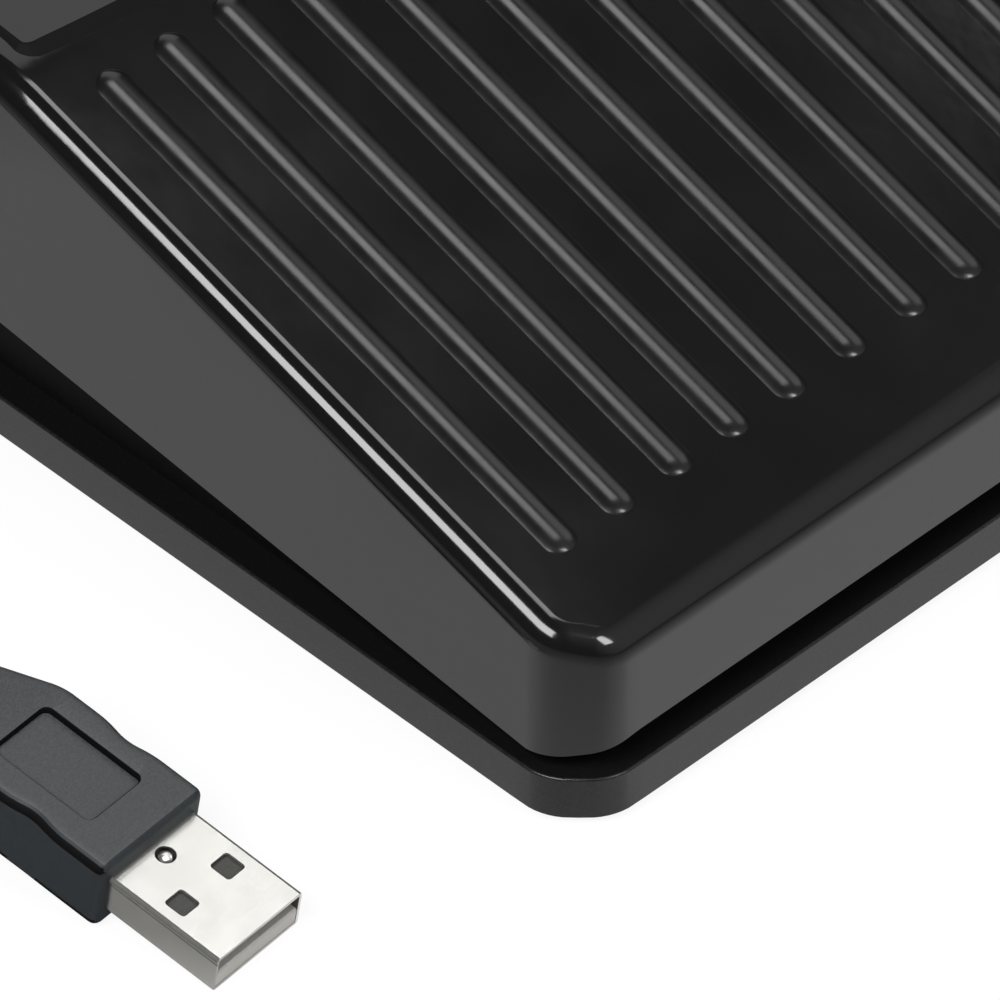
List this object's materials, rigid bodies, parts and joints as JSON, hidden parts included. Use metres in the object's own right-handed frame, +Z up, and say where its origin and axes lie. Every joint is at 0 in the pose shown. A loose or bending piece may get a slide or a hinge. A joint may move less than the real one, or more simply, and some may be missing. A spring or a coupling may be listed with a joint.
{
  "type": "foot pedal switch",
  "caption": "Foot pedal switch: a ribbed wedge treadle hinged at the front of a low base, sprung up over a lever micro switch, with a coiled USB lead and plug.",
  "frame": {"origin": "on the floor under the middle of the base", "axes": "+X to the right, +Y from the low front to the raised rear, +Z up"},
  "size_m": [0.1568, 0.1938, 0.0507],
  "materials": {
    "base_plastic": "satin moulded black ABS",
    "treadle_plastic": "glossy moulded black ABS",
    "foot_rubber": "matt",
    "bright_steel": "ground",
    "spring_steel": "bright drawn",
    "screw_steel": "zinc plated",
    "board_laminate": "solder mask",
    "chip_resin": "matt moulded",
    "ceramic": "fired",
    "switch_plastic": "satin moulded",
    "plunger_plastic": "satin moulded",
    "brass": "gold plated",
    "nylon": "natural",
    "wire_red": "satin",
    "wire_white": "satin",
    "wire_green": "satin",
    "wire_black": "satin",
    "cord_jacket": "satin vinyl",
    "tie_plastic": "satin",
    "plug_vinyl": "fine spark-eroded grain",
    "plug_nickel": "nickel plated sheet",
    "plug_tongue": "moulded white"
  },
  "bodies": {
    "base": {"base_tray": "base_plastic", "rubber_feet": "foot_rubber", "hinge_pin": "bright_steel", "return_spring": "spring_steel", "circuit_board": "board_laminate", "board_screws": "screw_steel", "controller_chip": "chip_resin", "crystal": "bright_steel", "board_capacitors": "ceramic", "switch_case": "switch_plastic", "switch_terminals": "brass", "lever_pin": "bright_steel", "cord_header": "nylon", "header_plug": "nylon", "wire_red": "wire_red", "wire_white": "wire_white", "wire_green": "wire_green", "wire_black": "wire_black", "cord_inner": "cord_jacket", "cord_clamp": "base_plastic", "clamp_screws": "screw_steel", "strain_relief": "cord_jacket", "cord_lead": "cord_jacket", "cord_coil": "cord_jacket", "cord_tie": "tie_plastic", "plug_lead": "cord_jacket", "plug_grip": "plug_vinyl", "plug_shell": "plug_nickel", "plug_insulator": "plug_tongue", "plug_contacts": "brass"},
    "treadle": {"treadle": "treadle_plastic"},
    "lever": {"switch_lever": "spring_steel"},
    "plunger": {"switch_plunger": "plunger_plastic"}
  },
  "joints": [
    {"name": "treadle_hinge", "type": "hinge", "parent": "base", "child": "treadle", "pos_m": [0, -0.0543, 0.0128], "axis": [-1, 0, 0], "range_deg": [0, 6], "stiffness_Nm_per_rad": 4.2, "springref_deg": -5.16, "deforming": ["return_spring"]},
    {"name": "lever_hinge", "type": "hinge", "parent": "base", "child": "lever", "pos_m": [0, -0.0445, 0.0189], "axis": [-1, 0, 0], "range_deg": [0, 9.6]},
    {"name": "plunger_slide", "type": "slide", "parent": "base", "child": "plunger", "axis": [0, 0, -1], "range_m": [0, 0.00081]}
  ],
  "couplings": [
    {"joint": "lever_hinge", "follows": "treadle_hinge", "ratio": 1.58},
    {"joint": "plunger_slide", "follows": "treadle_hinge", "m_per_rad": 0.00764}
  ]
}
